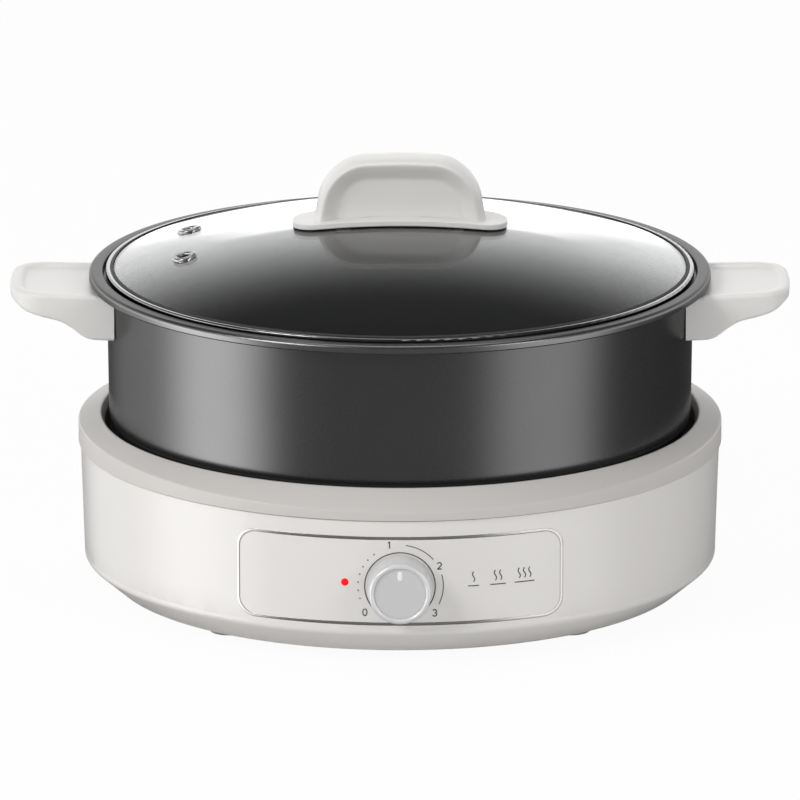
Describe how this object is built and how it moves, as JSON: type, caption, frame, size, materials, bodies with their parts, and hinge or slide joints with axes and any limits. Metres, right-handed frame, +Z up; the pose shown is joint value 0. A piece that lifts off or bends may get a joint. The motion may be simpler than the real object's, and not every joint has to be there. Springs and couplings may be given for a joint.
{
  "type": "electric hot pot",
  "caption": "Round electric hot pot: heating base with a front knob, lift-off dark pot with two side handles and a lift-off domed glass lid with an arched grip.",
  "frame": {"origin": "on the pot's axis, in the plane of the feet's undersides", "axes": "+Z up, +X to the right seen from the front, the knob faces -Y"},
  "size_m": [0.3888, 0.3457, 0.2199],
  "materials": {
    "base_plastic": "satin gloss",
    "ring_plastic": "satin",
    "handle_plastic": "satin",
    "cover_plastic": "matte",
    "rubber": "matte",
    "pan_steel": "satin",
    "screw_steel": "satin",
    "cast_aluminium": "satin",
    "knob_plastic": "satin silver",
    "marker_plastic": "gloss",
    "lens_red": "gloss",
    "lamp_glass": "clear",
    "black_plastic": "matte",
    "brass": "satin",
    "fuse_body": "satin",
    "wire_sleeve": "satin",
    "pot_coating": "dark satin coating",
    "lid_glass": "clear, polished"
  },
  "bodies": {
    "base": {"base_shell": "base_plastic", "control_panel": "base_plastic", "top_ring": "ring_plastic", "bottom_cover": "cover_plastic", "rubber_feet": "rubber", "well_pan": "pan_steel", "sensor_guide": "pan_steel", "thermostat_bracket": "pan_steel", "fuse_clip": "pan_steel", "cover_screws": "screw_steel", "base_screws": "screw_steel", "pan_screws": "screw_steel", "plate_screws": "screw_steel", "thermostat_screws": "screw_steel", "inlet_screws": "screw_steel", "thermostat_nut": "screw_steel", "guide_rivets": "screw_steel", "sensor_spring": "screw_steel", "heating_element": "screw_steel", "heating_plate": "cast_aluminium", "indicator_lens": "lens_red", "indicator_lamp": "lamp_glass", "thermostat_body": "black_plastic", "inlet_socket": "black_plastic", "terminal_block": "black_plastic", "inlet_pins": "brass", "thermal_fuse": "fuse_body", "internal_wires": "wire_sleeve"},
    "pot": {"pot_shell": "pot_coating", "handle_left": "handle_plastic", "handle_right": "handle_plastic", "handle_brackets": "pan_steel", "handle_screws": "screw_steel"},
    "lid": {"lid_glass": "lid_glass", "lid_rim": "pan_steel", "lid_seal": "rubber", "steam_eyelets": "pan_steel", "lid_handle_grip": "handle_plastic", "lid_handle_plate": "handle_plastic", "lid_handle_pad": "rubber", "lid_screws": "screw_steel", "lid_washers": "screw_steel"},
    "knob": {"knob_cap": "knob_plastic", "knob_marker": "marker_plastic", "knob_shaft": "screw_steel"},
    "sensor": {"sensor_plunger": "cast_aluminium", "sensor_clip": "screw_steel"}
  },
  "joints": [
    {"name": "pot_lift", "type": "slide", "parent": "base", "child": "pot", "axis": [0, 0, 1], "range_m": [0, 0.15]},
    {"name": "lid_lift", "type": "slide", "parent": "pot", "child": "lid", "axis": [0, 0, 1], "range_m": [0, 0.12]},
    {"name": "knob_turn", "type": "hinge", "parent": "base", "child": "knob", "pos_m": [0, -0.165, 0.0417], "axis": [0, 1, 0], "range_deg": [-132, 132]},
    {"name": "sensor_press", "type": "slide", "parent": "base", "child": "sensor", "axis": [0, 0, 1], "range_m": [-0.0015, 0], "stiffness_N_per_m": 400, "springref_m": 0.002, "deforming": ["sensor_spring"]}
  ]
}
